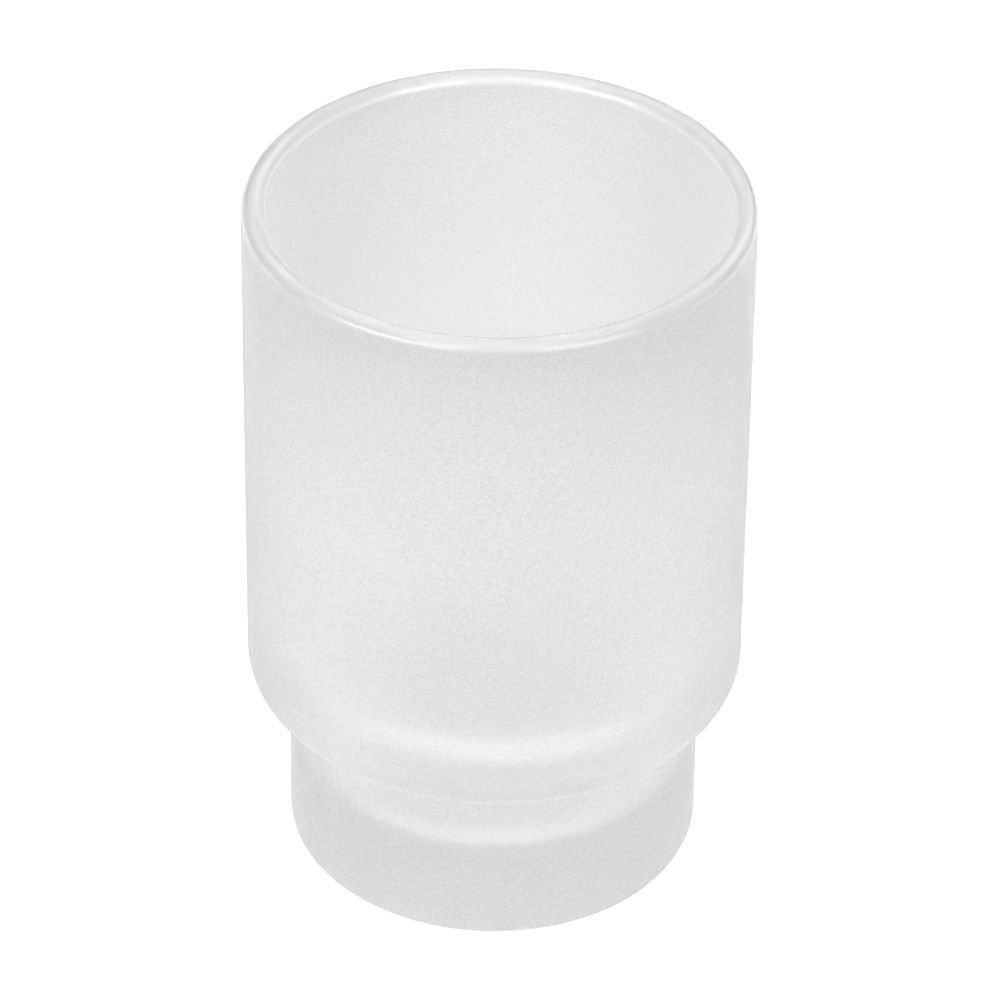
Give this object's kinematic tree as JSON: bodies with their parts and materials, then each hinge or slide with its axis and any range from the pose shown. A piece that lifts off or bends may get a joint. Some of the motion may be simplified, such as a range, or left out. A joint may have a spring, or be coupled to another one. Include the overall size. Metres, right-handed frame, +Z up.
{
  "type": "bathroom tumbler",
  "caption": "Satin glass tumbler with a full-round lip, a rounded shoulder and a narrower foot that stands flat or drops into a holder's ring.",
  "frame": {"origin": "centre of the base, on the surface that the tumbler stands on", "axes": "+Z up along the tumbler's own axis, towards the mouth; +X and +Y are alike, because it is round"},
  "size_m": [0.068, 0.068, 0.1023],
  "materials": {
    "satin_glass": "satin, etched outside; smooth inside and polished on the lip"
  },
  "bodies": {
    "root": {"tumbler_glass": "satin_glass"}
  },
  "joints": []
}
